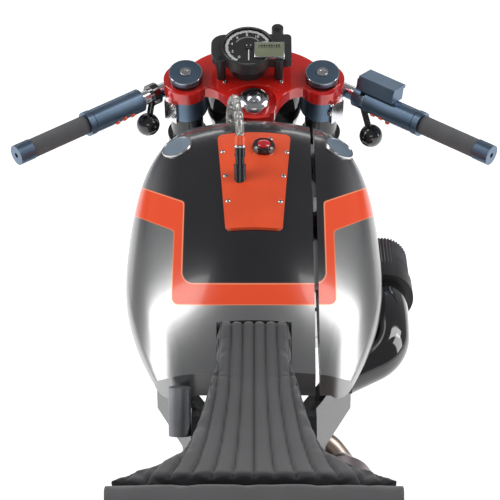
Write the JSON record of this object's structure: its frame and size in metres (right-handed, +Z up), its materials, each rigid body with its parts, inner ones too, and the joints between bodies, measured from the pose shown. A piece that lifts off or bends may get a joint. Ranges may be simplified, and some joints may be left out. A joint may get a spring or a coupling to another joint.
{
  "type": "motorcycle",
  "caption": "Two-wheeled roadster motorcycle with clip-on bars, a two-piece polished tank, a pleated seat, an open twin-cylinder engine, turning wheels, steering and a centre stand.",
  "frame": {"origin": "on the floor, midway along and across the machine", "axes": "+Y forward, +X to the rider's right, +Z up"},
  "size_m": [0.723, 2.0347, 0.9608],
  "materials": {
    "tyre": "matt rubber",
    "dark_wheel": "satin black",
    "disc_steel": "ground steel",
    "red_clamp": "glossy red",
    "dark_metal": "glossy black",
    "blue_anodised": "satin blue-grey anodising",
    "bright_steel": "polished",
    "grip_foam": "fine foam rubber",
    "black_plastic": "matt black",
    "lamp_gloss": "glossy black",
    "polished_aluminium": "hand polished",
    "cast_aluminium": "blasted casting",
    "orange_plate": "satin orange",
    "button_red": "glossy red",
    "seat_suede": "dark suede",
    "titanium": "heat-tinted titanium",
    "filter_mesh": "pleated filter cloth",
    "tail_red": "red lens",
    "chain_steel": "oiled steel",
    "braid": "braided steel"
  },
  "bodies": {
    "chassis": {"breather_hose": "braid", "canister": "cast_aluminium", "chain": "chain_steel", "engine_case": "cast_aluminium", "engine_covers": "blue_anodised", "exhaust_pipe": "titanium", "footrests": "cast_aluminium", "frame": "dark_metal", "front_cylinder": "cast_aluminium", "front_sprocket": "chain_steel", "hose_fitting": "dark_metal", "intake_elbow": "lamp_gloss", "intake_filter": "filter_mesh", "intake_ring": "black_plastic", "muffler": "titanium", "rear_axle": "bright_steel", "rear_caliper": "dark_metal", "rear_cylinder": "cast_aluminium", "rear_shock": "dark_metal", "seat": "seat_suede", "seat_pan": "black_plastic", "stand_pin": "bright_steel", "start_button": "button_red", "subframe": "dark_metal", "swingarm": "dark_metal", "tail_lamp": "tail_red", "tail_pad": "seat_suede", "tank_main": "polished_aluminium", "tank_plate": "orange_plate", "tank_side": "polished_aluminium"},
    "front_end": {"top_clamp": "red_clamp", "bottom_clamp": "dark_metal", "fork_tubes": "dark_metal", "fork_sliders": "bright_steel", "fork_caps": "blue_anodised", "front_axle": "bright_steel", "steering_stem": "blue_anodised", "clip_on_bars": "bright_steel", "grips": "grip_foam", "bar_end_caps": "blue_anodised", "switch_blocks": "blue_anodised", "levers": "dark_metal", "brake_reservoir": "blue_anodised", "bar_lamps": "lamp_gloss", "gauge": "black_plastic", "headlight": "lamp_gloss", "front_mudguard": "dark_metal", "front_calipers": "dark_metal"},
    "front_wheel": {"front_wheel_rim": "dark_wheel", "front_wheel_spokes": "dark_wheel", "front_tyre": "tyre", "front_discs": "disc_steel"},
    "rear_wheel": {"rear_wheel_rim": "dark_wheel", "rear_wheel_spokes": "dark_wheel", "rear_tyre": "tyre", "rear_disc": "disc_steel", "rear_sprocket": "chain_steel"},
    "centre_stand": {"centre_stand": "dark_metal"}
  },
  "joints": [
    {"name": "steering", "type": "hinge", "parent": "chassis", "child": "front_end", "pos_m": [0, 0.41597, 0.87398], "axis": [0, -0.4067, 0.9135], "range_deg": [-25, 25]},
    {"name": "front_spin", "type": "hinge", "parent": "front_end", "child": "front_wheel", "pos_m": [0, 0.7175, 0.3], "axis": [1, 0, 0], "continuous": true},
    {"name": "rear_spin", "type": "hinge", "parent": "chassis", "child": "rear_wheel", "pos_m": [0, -0.7025, 0.33], "axis": [1, 0, 0], "continuous": true},
    {"name": "stand_fold", "type": "hinge", "parent": "chassis", "child": "centre_stand", "pos_m": [0, -0.12, 0.262], "axis": [1, 0, 0], "range_deg": [-80, 0]}
  ]
}
